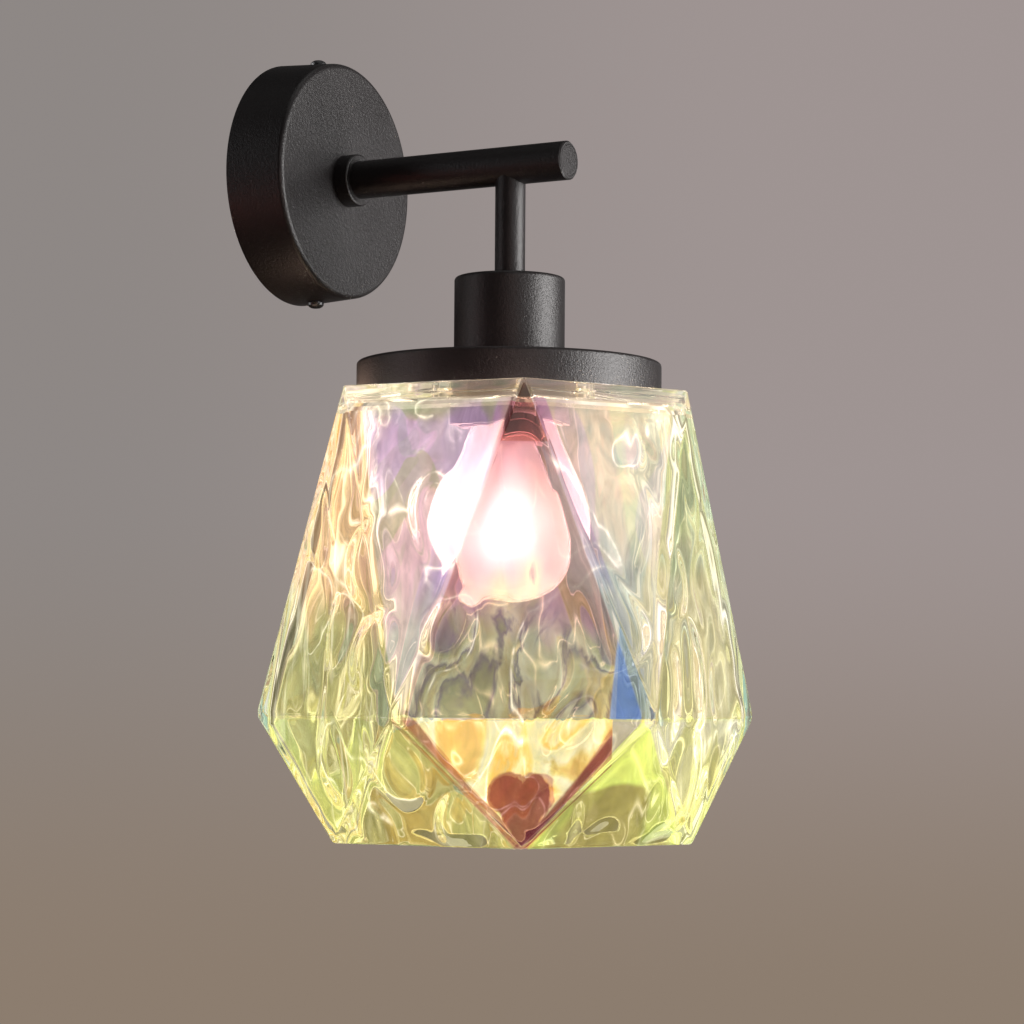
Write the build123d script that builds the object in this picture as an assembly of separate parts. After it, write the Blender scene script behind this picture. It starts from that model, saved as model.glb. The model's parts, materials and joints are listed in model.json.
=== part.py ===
from build123d import *
import os
from math import cos, sin, radians, tan, pi

# Crystal wall sconce. Millimetres, +Z up. The wall is the plane Y = 0 and the
# lamp stands out of it along -Y. The origin is the centre of the two wall
# slots, on the wall, on the arm's axis.

# ---------------------------------------------------------------- dimensions
# canopy (round wall plate)
CAN_R_FRONT = 50.0
CAN_R_BACK = 51.5
CAN_DEPTH = 26.5
CAN_WALL = 1.5
CAN_EDGE = 2.2
SCREW_Y = -11.0            # side screws' axis, from the wall

# wall bracket
BR_T = 2.0
BR_W = 20.0
BR_TAB_Z = 45.5            # inner face of the bent tabs
SLOT_SPACING = 60.0
SLOT_W = 4.5
SLOT_L = 12.0
CABLE_R = 6.0

# arm
ARM_R = 8.0
ARM_BORE = 6.5
ARM_TIP = -134.0
COLLAR_R = 11.0
COLLAR_L = 6.5

# stem and its axis
YS = -106.5
STEM_R = 6.25
STEM_BORE = 5.0
NIP_R = 5.0                # M10 x 1 lamp thread
NIP_BORE = 3.8

# socket cup
CUP_R = 22.75
CUP_T = 1.2
CUP_TOP = -46.5
CUP_BOT = -82.0

# pan over the glass
PAN_R = 62.5
PAN_T = 1.5
PAN_BOT = -95.2

# lampholder (medium Edison, 27 mm cap)
SKIRT_R = 19.75
HOLDER_TOP = -53.0
HOLDER_SPLIT = -70.0
HOLDER_BOT = -112.5
SHELL_R_IN = 13.08

# glass shade: hexagon, hexagon turned by 30 degrees, hexagon
GL_TOP = -96.0
GL_MID = -226.3
GL_BOT = -276.0
GL_R_TOP = 79.0
GL_R_MID = 101.5
GL_R_BOT = 81.5
GL_WALL_R = 7.0            # at the corners, measured radially
GL_PLATE = 7.0
GL_HOLE_R = 21.0
GL_TURN = 274.1            # angle of one top corner about the stem, from +X

# retaining ring
RING_TOP = GL_TOP - GL_PLATE - 1.0
RING_BORE = 19.8
RING_PITCH = 2.5

# bulb, 60 mm globe
BULB_R = 29.5
BULB_CZ = -150.5
BULB_TIP = -75.5
CAP_R = 13.0

WIRE_R = 0.95


# ---------------------------------------------------------------- helpers
def cz(r, z0, z1, x=0.0, y=0.0):
    return Pos(x, y, (z0 + z1) / 2) * Cylinder(r, abs(z1 - z0))


def cy(r, y0, y1, x=0.0, z=0.0):
    return Pos(x, (y0 + y1) / 2, z) * Rot(90, 0, 0) * Cylinder(r, abs(y1 - y0))


def cx(r, x0, x1, y=0.0, z=0.0):
    return Pos((x0 + x1) / 2, y, z) * Rot(0, 90, 0) * Cylinder(r, abs(x1 - x0))


def bx(x0, x1, y0, y1, z0, z1):
    return Pos((x0 + x1) / 2, (y0 + y1) / 2, (z0 + z1) / 2) * Box(
        abs(x1 - x0), abs(y1 - y0), abs(z1 - z0))


def rev(points):
    """Solid of revolution about Z from a closed polyline of (radius, z)."""
    face = make_face(Plane.XZ * Polyline(*points, close=True))
    return revolve(face, Axis.Z, 360)


def rev_edges(edges):
    face = make_face([Plane.XZ * e for e in edges])
    return revolve(face, Axis.Z, 360)


def hexagon_y(across_flats, y0, y1):
    s = extrude(RegularPolygon(across_flats / 2, 6, major_radius=False), abs(y1 - y0))
    return Pos(0, max(y0, y1), 0) * Rot(90, 0, 0) * s


def hexagon_z(across_flats, z0, z1, y):
    s = extrude(RegularPolygon(across_flats / 2, 6, major_radius=False), abs(z1 - z0))
    return Pos(0, y, min(z0, z1)) * s


def wire(points, radii, r=WIRE_R):
    path = FilletPolyline(*points, radius=radii)
    start = path @ 0
    direction = path % 0
    sect = Plane(origin=start, z_dir=direction) * Circle(r)
    return sweep(sect, path=path)


PARTS = {}


def add(name, *solids):
    flat = []
    for s in solids:
        flat += list(s.solids())
    PARTS[name] = flat


# ---------------------------------------------------------------- wall bracket
profile = Rectangle(BR_W, 2 * (BR_TAB_Z + BR_T))
profile += Pos(22.5, 0) * Rectangle(27, 33)
profile = fillet(profile.vertices().filter_by(lambda v: v.X > 30), 3)
profile -= Circle(CABLE_R)
for s in (1, -1):
    profile -= Pos(0, s * SLOT_SPACING / 2) * SlotOverall(SLOT_L, SLOT_W, rotation=90)
profile -= Pos(24, 5) * Circle(1.55)
bracket = extrude(Plane.XZ * profile, BR_T)
for s in (1, -1):
    tab = bx(-9, 9, -19, 0, s * BR_TAB_Z, s * (BR_TAB_Z + BR_T))
    tab = fillet(tab.edges().filter_by(Axis.Z).filter_by(lambda e: e.center().Y < -18), 3)
    bracket += tab
for s in (1, -1):
    out = bracket.edges().filter_by(Axis.X).filter_by(
        lambda e: abs(e.center().Y) < 0.01 and abs(e.center().Z - s * (BR_TAB_Z + BR_T)) < 0.01)
    bracket = fillet(out, 1.9)
bracket -= cz(2.05, -60, 60, 0, SCREW_Y)
add("wall_bracket", bracket)

# ---------------------------------------------------------------- canopy
w = CAN_EDGE
d = CAN_DEPTH
k = 1 - cos(pi / 4)
outer_r = CAN_R_FRONT
ed = [
    Line((5.1, d), (outer_r - w, d)),
    ThreePointArc((outer_r - w, d), (outer_r - w * k, d - w * k), (outer_r, d - w)),
    Line((outer_r, d - w), (CAN_R_BACK, 0)),
    Line((CAN_R_BACK, 0), (CAN_R_BACK - CAN_WALL, 0)),
    Line((CAN_R_BACK - CAN_WALL, 0), (outer_r - CAN_WALL, d - w)),
    ThreePointArc((outer_r - CAN_WALL, d - w), (outer_r - CAN_WALL - 0.7 * k, d - w + 0.7 * (1 - k)),
                  (outer_r - w, d - CAN_WALL)),
    Line((outer_r - w, d - CAN_WALL), (5.1, d - CAN_WALL)),
    Line((5.1, d - CAN_WALL), (5.1, d)),
]
canopy = Rot(90, 0, 0) * rev_edges(ed)
canopy -= cz(2.4, -60, 60, 0, SCREW_Y)
add("canopy", canopy)

# side screws: domed head, cross recess, 10 mm shank
HEAD_Z = 51.25
scr = rev([(0, 41.3), (1.7, 41.3), (2.0, 41.7), (2.0, HEAD_Z), (3.5, HEAD_Z), (3.4, HEAD_Z + 0.9),
           (2.9, HEAD_Z + 1.6), (1.9, HEAD_Z + 2.15), (0, HEAD_Z + 2.4)])
scr -= bx(-2.0, 2.0, -0.35, 0.35, HEAD_Z + 0.9, HEAD_Z + 3)
scr -= bx(-0.35, 0.35, -2.0, 2.0, HEAD_Z + 0.9, HEAD_Z + 3)
add("top_side_screw", Pos(0, SCREW_Y, 0) * scr)
add("bottom_side_screw", Pos(0, SCREW_Y, 0) * Rot(180, 0, 0) * scr)

# ---------------------------------------------------------------- terminal block
POLES = (10.0, 0.0, -10.0)         # live, neutral, earth
blk = bx(14, 34, -2, -12, -15.5, 15.5)
blk = fillet(blk.edges().filter_by(Axis.Y), 1.0)
for z in POLES:
    for x in (19, 29):
        blk += cy(3.4, -12, -16.5, x, z)
for z in POLES:
    blk -= cx(2.9, 16, 32, -8, z)
    blk -= cx(1.8, 13, 35, -8, z)
    for x in (19, 29):
        blk -= cy(2.2, -9, -17, x, z)
blk -= cy(1.6, -1, -13, 24, 5)
add("terminal_block", blk)

ins = []
tsc = []
for z in POLES:
    t = cx(2.9, 16, 32, -8, z) - cx(1.5, 15, 33, -8, z)
    for x in (19, 29):
        t -= cy(1.25, -8, -12, x, z)
        s = cy(1.25, -9.05 if x == 19 else -8.2, -13.6, x, z)
        s -= bx(x - 1.5, x + 1.5, -13.0, -14, z - 0.25, z + 0.25)
        tsc.append(s)
    ins.append(t)
add("terminal_inserts", *ins)
add("terminal_clamp_screws", *tsc)
fs = cy(1.5, -0.3, -12, 24, 5) + cy(2.6, -12, -13.8, 24, 5)
fs -= bx(21, 27, -13.2, -14.5, 4.65, 5.35)
add("terminal_fixing_screw", fs)

# ---------------------------------------------------------------- arm
NUT_FRONT = -(CAN_DEPTH - CAN_WALL)
arm = cy(ARM_R, -CAN_DEPTH, ARM_TIP + 0.0) - cy(ARM_BORE, -CAN_DEPTH + 1, ARM_TIP - 1)
arm -= cz(STEM_BORE, -20, 0, 0, YS)
arm = chamfer(arm.edges().filter_by(GeomType.CIRCLE).filter_by(
    lambda e: abs(e.center().Y - ARM_TIP) < 0.01 and e.radius > 7.5), 0.6)
add("arm_tube", arm)
cap = cy(ARM_BORE, ARM_TIP, ARM_TIP + 6)
cap = chamfer(cap.edges().filter_by(GeomType.CIRCLE).filter_by(
    lambda e: abs(e.center().Y - ARM_TIP) < 0.01), 0.2)
add("arm_end_cap", cap)
collar = cy(COLLAR_R, -CAN_DEPTH, -CAN_DEPTH - COLLAR_L) - cy(ARM_R, -CAN_DEPTH + 1, -CAN_DEPTH - COLLAR_L - 1)
collar = fillet(collar.edges().filter_by(GeomType.CIRCLE).filter_by(
    lambda e: e.center().Y < -CAN_DEPTH - 1 and e.radius > 10), 0.8)
add("arm_collar", collar)
add("arm_root_plug", cy(ARM_BORE, -CAN_DEPTH, -38.5) - cy(NIP_R, -20, -40))
add("arm_nipple", cy(NIP_R, -16.5, -38.0) - cy(NIP_BORE, -15, -40))
add("arm_washer", cy(10, NUT_FRONT, NUT_FRONT + 1.2) - cy(5.15, -30, -20))
tag = cy(9, NUT_FRONT + 1.2, NUT_FRONT + 2.0) - cy(5.15, -30, -20)
tag += bx(-17, -8, NUT_FRONT + 1.2, NUT_FRONT + 2.0, -1.6, 1.6) 
tag += cx(1.7, -17.5, -12.5, -22.6 + 0.35, 0)
tag -= cx(WIRE_R, -20, -12.9, -22.25, 0)
add("earth_tag", tag)
nut = hexagon_y(17, NUT_FRONT + 2.0, NUT_FRONT + 7.0) - cy(NIP_R, -30, -10)
add("arm_nut", nut)

# ---------------------------------------------------------------- stem and cup
stem = cz(STEM_R, 0, CUP_TOP, 0, YS) - cz(STEM_BORE, 1, CUP_TOP - 1, 0, YS) - cy(ARM_R, -60, -150)
add("stem_tube", stem)
add("stem_nipple", cz(NIP_R, -34, -60.5, 0, YS) - cz(NIP_BORE, -30, -62, 0, YS))
cup = cz(CUP_R, CUP_TOP, CUP_BOT, 0, YS)
cup = fillet(cup.edges().filter_by(GeomType.CIRCLE).filter_by(lambda e: e.center().Z > CUP_TOP - 0.01), 1.6)
cup -= cz(CUP_R - CUP_T, CUP_TOP - CUP_T, CUP_BOT - 1, 0, YS)
cup -= cz(NIP_R + 0.1, CUP_TOP + 1, CUP_TOP - 3, 0, YS)
add("socket_cup", cup)
add("cup_washer", cz(9, CUP_TOP - CUP_T, CUP_TOP - 2.4, 0, YS) - cz(5.15, -40, -60, 0, YS))
add("cup_nut", hexagon_z(14, CUP_TOP - 2.4, CUP_TOP - 5.9, YS) - cz(NIP_R, -40, -60, 0, YS))

# pan: drawn disc with a turned-down rim
pan = cz(PAN_R, CUP_BOT, PAN_BOT, 0, YS)
pan = fillet(pan.edges().filter_by(GeomType.CIRCLE).filter_by(lambda e: e.center().Z > CUP_BOT - 0.01), 1.4)
pan -= cz(PAN_R - PAN_T, CUP_BOT - PAN_T, PAN_BOT - 1, 0, YS)
pan -= cz(20.1, CUP_BOT + 1, CUP_BOT - 3, 0, YS)
add("shade_pan", pan)
add("upper_gasket", cz(62.2, PAN_BOT, GL_TOP, 0, YS) - cz(59.2, PAN_BOT + 1, GL_TOP - 1, 0, YS))

# ---------------------------------------------------------------- lampholder
hc = rev([(5, HOLDER_TOP), (8, HOLDER_TOP), (8, -57), (16, -57), (18.4, -58), (19.5, -60.5),
          (19.5, HOLDER_SPLIT), (17.5, HOLDER_SPLIT), (17.5, -61.5), (15.5, -59.2), (8, -59.2),
          (8, -61), (5, -61)])
hc = Pos(0, YS, 0) * hc
hc -= cy(1.25, YS + 4, YS + 9, 0, -55)
add("lampholder_cap", hc)
gs = cy(1.25, YS + 5.0, YS + 8.0, 0, -55) - bx(-1.5, 1.5, YS + 7.3, YS + 9, -55.25, -54.75)
add("lampholder_grub_screw", gs & (cz(20, -50, -60, 0, YS) - cz(NIP_R, -49, -61, 0, YS)))
hb = rev([(16, -66), (17.45, -66), (17.45, HOLDER_SPLIT), (19.5, HOLDER_SPLIT), (19.5, -79),
          (21.2, -79), (21.2, CUP_BOT), (SKIRT_R, CUP_BOT), (SKIRT_R, HOLDER_BOT + 0.6),
          (SKIRT_R - 0.6, HOLDER_BOT), (16, HOLDER_BOT), (16, -76.4), (14.1, -76.4), (14.1, -74.4),
          (16, -74.4)])
add("lampholder_body", Pos(0, YS, 0) * hb)
RIVETS = ((8.0, 0.0), (-11.6, 0.0), (0.0, 11.6), (0.0, -11.6))
insert = cz(15.9, -70.5, -74.4, 0, YS)
for x, y in RIVETS:
    insert -= cz(0.8, -60, -80, x, YS + y)
add("lampholder_insert", insert)
shell = rev([(10.0, -74.4), (13.6, -74.4), (13.6, -101), (SHELL_R_IN, -101), (SHELL_R_IN, -74.9), (10.0, -74.9)])
shell = Pos(0, YS, 0) * shell
leaf = extrude(Plane.XZ * make_face(Polyline((9.2, -74.4), (5.5, -74.4), (1.5, -74.8), (-3, -74.8), (-3, -75.2),
               (1.3, -75.2), (5.3, -74.8), (9.2, -74.8), close=True)), 2.5, both=True)
leaf = Pos(0, YS, 0) * leaf
rivets = []
for i, (x, y) in enumerate(RIVETS):
    bottom = -74.8 if i == 0 else -74.9
    r = cz(0.8, -70.5, bottom, x, YS + y)
    if i == 0:
        leaf -= cz(0.8, -70, -76, x, YS + y)
    else:
        shell -= cz(0.8, -70, -76, x, YS + y)
    if i > 1:
        r += cz(1.5, -69.8, -70.5, x, YS + y)
    rivets.append(r)
add("lampholder_shell", shell)
add("centre_contact", leaf)
add("lampholder_rivets", *rivets)
terms = []
tscrews = []
for s in (1, -1):
    t = bx(s * 7.5, s * 12.5, YS - 2.5, YS + 2.5, -64.8, -70.5)
    t -= cz(1.1, -60, -69.5, s * 10, YS)
    t -= cx(1.2, s * 10, s * 13, YS, -67)
    terms.append(t)
    q = cx(1.2, s * 10.98, s * 14.2, YS, -67) 
    q += cx(1.9, s * 14.2, s * 15.6, YS, -67)
    q -= bx(s * 15.0, s * 17, YS - 2.2, YS + 2.2, -67.25, -66.75)
    tscrews.append(q)
add("lampholder_terminals", *terms)
add("lampholder_terminal_screws", *tscrews)

# ---------------------------------------------------------------- wiring
live = wire([(21, -8, POLES[0]), (10, -8, POLES[0]), (-1.6, -7.5, 4), (-1.6, -17, 0), (-1.6, YS, 0), (-1.6, YS, -62.3),
             (-10, YS, -63.4), (-10, YS, -69.0)], [5, 4, 4, 4.5, 1.5, 1.5])
neutral = wire([(21, -8, POLES[1]), (1.6, -8, 0), (1.6, YS, 0), (1.6, YS, -62.3),
                (10, YS, -63.4), (10, YS, -69.0)], [4, 4.5, 1.5, 1.5])
earth = wire([(21, -8, POLES[2]), (-4, -8, -11.5), (-24, -11, -9), (-28, -22.25, 0), (-13.2, -22.25, 0)],
             [8, 5, 4])
add("live_wire", live)
add("neutral_wire", neutral)
add("earth_wire", earth)


# ---------------------------------------------------------------- glass shade
def ring_points(r, z, turn):
    return [Vector(r * cos(radians(turn + 60 * i)), r * sin(radians(turn + 60 * i)), z) for i in range(6)]


def faceted(r_top, z_top, r_mid, z_mid, r_bot, z_bot):
    a = ring_points(r_top, z_top, GL_TURN)
    b = ring_points(r_mid, z_mid, GL_TURN + 30)
    c = ring_points(r_bot, z_bot, GL_TURN)
    faces = []

    def poly(*pts):
        faces.append(Face(Wire.make_polygon(pts, close=True)))
    poly(*a)
    poly(*c)
    for i in range(6):
        j = (i + 1) % 6
        poly(a[i], a[j], b[i])
        poly(b[i], b[j], a[j])
        poly(b[i], b[j], c[j])
        poly(c[i], c[j], b[i])
    return Solid(Shell(faces))


glass = faceted(GL_R_TOP, GL_TOP, GL_R_MID, GL_MID, GL_R_BOT, GL_BOT)
hollow = faceted(GL_R_TOP - GL_WALL_R, GL_TOP, GL_R_MID - GL_WALL_R, GL_MID, GL_R_BOT - GL_WALL_R, GL_BOT)
neck = extrude(Plane.XY.offset(GL_BOT - 5) * (Rot(0, 0, GL_TURN) * RegularPolygon(GL_R_BOT - GL_WALL_R, 6)), 5)
keep = Pos(0, 0, GL_TOP - GL_PLATE - 100) * Box(300, 300, 200)
glass = glass - ((hollow & keep) + neck)
glass -= cz(GL_HOLE_R, GL_TOP + 1, GL_TOP - GL_PLATE - 1)
add("glass_shade", Pos(0, YS, 0) * glass)
add("lower_gasket", cz(28, GL_TOP - GL_PLATE, RING_TOP, 0, YS) - cz(20.8, GL_TOP - GL_PLATE + 1, RING_TOP - 1, 0, YS))

# retaining ring with a notched flange
ring = cz(28.5, RING_TOP, RING_TOP - 2.5) + cz(23.5, RING_TOP, RING_TOP - 7.5)
ring -= cz(RING_BORE, RING_TOP + 1, RING_TOP - 9)
for i in range(16):
    ang = radians(22.5 * i)
    ring -= cz(1.4, RING_TOP + 1, RING_TOP - 3.0, 28.9 * cos(ang), 28.9 * sin(ang))
add("shade_ring", Pos(0, YS, 0) * ring)

# ---------------------------------------------------------------- bulb
NECK_Z = -101.5


def globe_profile(r, neck_r, grow):
    s = Spline((neck_r, NECK_Z), (13.6 - grow, -108), (16.4 - grow, -116.5), (21.9 - grow, -127),
               (27.5 - grow, -139.3), (r, BULB_CZ), tangents=[(0, -1), (0, -1)])
    return s


so = globe_profile(BULB_R, 12.3, 0.0)
si = globe_profile(BULB_R - 0.9, 11.4, 0.9)
r1, r2 = BULB_R, BULB_R - 0.9
q = cos(pi / 4)
ed = [
    Line((11.4, -97), (12.3, -97)), Line((12.3, -97), (12.3, NECK_Z)), so,
    ThreePointArc((r1, BULB_CZ), (r1 * q, BULB_CZ - r1 * q), (0, BULB_CZ - r1)),
    Line((0, BULB_CZ - r1), (0, BULB_CZ - r2)),
    ThreePointArc((0, BULB_CZ - r2), (r2 * q, BULB_CZ - r2 * q), (r2, BULB_CZ)),
    si, Line((11.4, NECK_Z), (11.4, -97)),
]
add("bulb_globe", Pos(0, YS, 0) * rev_edges(ed))
outer = [(10.6, -79.0), (12.2, -79.8)]
z = -80.6
for i in range(4):
    outer += [(12.2, z), (CAP_R, z - 1.0), (CAP_R, z - 1.8), (12.2, z - 2.8)]
    z -= 3.6
outer += [(12.2, z), (CAP_R, z - 0.9), (CAP_R, -101.5)]
inner = [(CAP_R - 0.5, -101.5), (CAP_R - 0.5, z - 1.1)]
inner += [(11.7, z), (11.7, -80.1), (10.2, -79.3), (10.2, -79.0)]
add("bulb_screw_cap", Pos(0, YS, 0) * rev(outer + inner))
add("bulb_insulator", Pos(0, YS, 0) * rev([(0, -76.5), (4.6, -76.5), (10.1, -78.6), (10.1, -80.2), (0, -80.2)]))
add("bulb_tip_contact", Pos(0, YS, 0) * rev([(0, BULB_TIP), (2.2, BULB_TIP), (3.6, BULB_TIP - 0.6), (3.6, -76.5), (0, -76.5)]))
add("bulb_mount", Pos(0, YS, 0) * rev([(0, -97), (11.4, -97), (11.4, -98.4), (5.4, -105), (3.4, -112), (2.6, -129), (0, -130)]))
leads = []
for s in (1, -1):
    leads.append(Pos(0, YS, 0) * wire([(s * 2.0, 0, -129.7), (s * 4.0, 0, -137), (s * 13.0, 0, -149)], [6], 0.4))
add("bulb_leads", *leads)
fil = wire([(-12.6, 0, -149.2), (-7.0, 0, -153.6), (0, 0, -155.2), (7.0, 0, -153.6), (12.6, 0, -149.2)], [6, 6, 6], 0.5)
add("bulb_filament", Pos(0, YS, 0) * fil)

# ---------------------------------------------------------------- export
for name, solids in PARTS.items():
    shape = solids[0] if len(solids) == 1 else Compound(children=solids)
    shape.label = name
    export_step(shape, f"parts/{name}.step")
print(len(PARTS), "nodes")
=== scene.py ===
import json
import math

import bmesh
import bpy
import numpy as np
from mathutils import Matrix, Vector


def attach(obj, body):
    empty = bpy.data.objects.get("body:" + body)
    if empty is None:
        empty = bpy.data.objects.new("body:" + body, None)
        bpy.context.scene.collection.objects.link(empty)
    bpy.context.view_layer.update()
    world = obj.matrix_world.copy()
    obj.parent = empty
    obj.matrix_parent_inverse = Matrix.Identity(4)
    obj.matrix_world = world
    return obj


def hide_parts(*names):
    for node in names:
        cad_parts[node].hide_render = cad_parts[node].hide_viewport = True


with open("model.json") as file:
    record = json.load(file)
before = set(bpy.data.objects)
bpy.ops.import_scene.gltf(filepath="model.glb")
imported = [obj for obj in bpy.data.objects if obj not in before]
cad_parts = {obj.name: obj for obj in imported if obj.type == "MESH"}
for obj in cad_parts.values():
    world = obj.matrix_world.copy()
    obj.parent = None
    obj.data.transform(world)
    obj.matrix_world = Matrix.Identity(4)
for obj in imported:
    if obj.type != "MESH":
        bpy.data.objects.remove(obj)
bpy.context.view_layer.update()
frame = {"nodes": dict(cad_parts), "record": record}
SC = bpy.context.scene
NODES = frame["nodes"]

# ------------------------------------------------------------------ sizes, in metres
YS = -0.1065               # the stem's axis
GL_TOP, GL_MID, GL_BOT = -0.096, -0.2263, -0.276
R_TOP, R_MID, R_BOT = 0.079, 0.1015, 0.0815
WALL = 0.007
PLATE = 0.007
HOLE_R = 0.021
SOFT = 0.0022              # rounding of the inner wall's corners above the belt
TURN = 274.1               # angle of one top corner about the stem


def rad(a):
    return math.radians(a)


# ------------------------------------------------------------------ material helpers
class Mat:
    """A node material with a few short cuts."""

    def __init__(self, name):
        self.m = bpy.data.materials.new(name)
        self.m.use_nodes = True
        self.t = self.m.node_tree
        self.b = self.t.nodes["Principled BSDF"]

    def node(self, kind, **kw):
        n = self.t.nodes.new(kind)
        for k, v in kw.items():
            if k in n.inputs.keys():
                n.inputs[k].default_value = v
            else:
                setattr(n, k, v)
        return n

    def link(self, a, b):
        self.t.links.new(a, b)

    def set(self, **kw):
        for k, v in kw.items():
            self.b.inputs[k.replace("_", " ")].default_value = v

    def coords(self):
        return self.node("ShaderNodeTexCoord").outputs["Object"]

    def noise(self, scale, detail=4.0, rough=0.55, distortion=0.0, vec=None):
        n = self.node("ShaderNodeTexNoise")
        n.inputs["Scale"].default_value = scale
        n.inputs["Detail"].default_value = detail
        n.inputs["Roughness"].default_value = rough
        n.inputs["Distortion"].default_value = distortion
        self.link(vec or self.coords(), n.inputs["Vector"])
        return n.outputs["Fac"]

    def voronoi(self, scale, vec=None, feature="F1"):
        n = self.node("ShaderNodeTexVoronoi", feature=feature)
        n.inputs["Scale"].default_value = scale
        self.link(vec or self.coords(), n.inputs["Vector"])
        return n.outputs["Distance"]

    def ramp(self, fac, stops, interp="LINEAR"):
        n = self.node("ShaderNodeValToRGB")
        n.color_ramp.interpolation = interp
        e = n.color_ramp.elements
        while len(e) < len(stops):
            e.new(0.5)
        for i, (p, c) in enumerate(stops):
            e[i].position = p
            e[i].color = (*c, 1.0) if len(c) == 3 else c
        self.link(fac, n.inputs["Fac"])
        return n.outputs["Color"]

    def math(self, op, a, b=None, clamp=False):
        n = self.node("ShaderNodeMath", operation=op, use_clamp=clamp)
        for i, v in enumerate((a, b)):
            if v is None:
                continue
            if isinstance(v, (int, float)):
                n.inputs[i].default_value = v
            else:
                self.link(v, n.inputs[i])
        return n.outputs[0]

    def mix(self, fac, a, b, kind="MIX"):
        n = self.node("ShaderNodeMix", data_type="RGBA", blend_type=kind)
        for s, v in ((0, fac), (6, a), (7, b)):
            if isinstance(v, (int, float)):
                n.inputs[s].default_value = v
            elif isinstance(v, (tuple, list)):
                n.inputs[s].default_value = (*v, 1.0) if len(v) == 3 else v
            else:
                self.link(v, n.inputs[s])
        return n.outputs[2]

    def bump(self, height, strength=0.2, distance=0.001, normal=None):
        n = self.node("ShaderNodeBump")
        n.inputs["Strength"].default_value = strength
        n.inputs["Distance"].default_value = distance
        self.link(height, n.inputs["Height"])
        if normal is not None:
            self.link(normal, n.inputs["Normal"])
        return n.outputs["Normal"]

    def map_range(self, v, a, b, c, d, smooth=False):
        n = self.node("ShaderNodeMapRange")
        if smooth:
            n.interpolation_type = "SMOOTHSTEP"
        self.link(v, n.inputs["Value"])
        for k, x in zip(("From Min", "From Max", "To Min", "To Max"), (a, b, c, d)):
            n.inputs[k].default_value = x
        return n.outputs["Result"]


def powder_coat(name, base=(0.0085, 0.0068, 0.0072), rough=0.40):
    """Satin black powder coat: fine grain that sparkles in the highlights, faint mottling."""
    m = Mat(name)
    co = m.coords()
    mott = m.noise(45.0, 3.0, 0.6, vec=co)
    peel = m.noise(850.0, 2.0, 0.55, vec=co)
    grain = m.noise(2200.0, 1.0, 0.5, vec=co)
    fleck = m.voronoi(2100.0, vec=co)
    fl = m.map_range(fleck, 0.0, 0.2, 1.0, 0.0)
    dark = tuple(c * 0.85 for c in base)
    lite = tuple(c * 1.2 for c in base)
    col = m.mix(mott, dark, lite)
    col = m.mix(m.math("MULTIPLY", fl, 0.25), col, (0.07, 0.066, 0.066))
    m.link(col, m.b.inputs["Base Color"])
    rg = m.map_range(mott, 0.3, 0.7, rough - 0.03, rough + 0.04)
    m.link(m.math("ADD", rg, m.math("MULTIPLY", m.math("SUBTRACT", grain, 0.5), 0.25)), m.b.inputs["Roughness"])
    n1 = m.bump(peel, 0.75, 0.00022)
    n2 = m.bump(grain, 0.95, 0.00013, n1)
    m.link(n2, m.b.inputs["Normal"])
    m.set(Specular_IOR_Level=0.5)
    return m.m


def metal(name, base, rough=0.28, brushed=None, tarnish=0.15, metallic=1.0):
    """Bare metal: fine lines along one axis or a soft grain, with a light tarnish."""
    m = Mat(name)
    co = m.coords()
    if brushed:
        mp = m.node("ShaderNodeMapping")
        mp.inputs["Scale"].default_value = brushed
        m.link(co, mp.inputs["Vector"])
        lines = m.noise(900.0, 2.0, 0.5, vec=mp.outputs["Vector"])
    else:
        lines = m.noise(1500.0, 3.0, 0.6, vec=co)
    dull = m.noise(140.0, 4.0, 0.6, vec=co)
    darker = tuple(c * (1 - tarnish) for c in base)
    m.link(m.mix(dull, base, darker), m.b.inputs["Base Color"])
    m.link(m.map_range(dull, 0.3, 0.75, rough * 0.8, rough * 1.35), m.b.inputs["Roughness"])
    m.link(m.bump(lines, 0.12, 0.00004), m.b.inputs["Normal"])
    m.set(Metallic=metallic)
    return m.m


def plastic(name, base, rough=0.4, coat=0.0, mottle=0.08, spec=0.5):
    """Moulded plastic or porcelain: faint flow marks and a fine skin."""
    m = Mat(name)
    co = m.coords()
    flow = m.noise(90.0, 4.0, 0.55, 0.6, vec=co)
    skin = m.noise(2200.0, 2.0, 0.5, vec=co)
    a = tuple(c * (1 - mottle) for c in base)
    b = tuple(min(1.0, c * (1 + mottle)) for c in base)
    m.link(m.mix(flow, a, b), m.b.inputs["Base Color"])
    m.link(m.map_range(flow, 0.3, 0.7, rough * 0.88, rough * 1.12), m.b.inputs["Roughness"])
    m.link(m.bump(skin, 0.12, 0.00006), m.b.inputs["Normal"])
    m.set(Coat_Weight=coat, Coat_Roughness=0.08, Specular_IOR_Level=spec)
    return m.m


def rubber(name, base, rough=0.6):
    m = Mat(name)
    co = m.coords()
    g = m.noise(800.0, 3.0, 0.6, vec=co)
    m.link(m.mix(g, tuple(c * 0.9 for c in base), base), m.b.inputs["Base Color"])
    m.link(m.bump(g, 0.1, 0.0001), m.b.inputs["Normal"])
    m.set(Roughness=rough, Transmission_Weight=0.35, IOR=1.42)
    return m.m


# ------------------------------------------------------------------ shade glass
# The mesh carries two attributes: "stand", in millimetres, above zero inside a facet that has its
# point at the top of the tier and below zero inside one that hangs point down, and "ripple",
# the height of the inner face's hammered relief, about -1..1.


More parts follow.
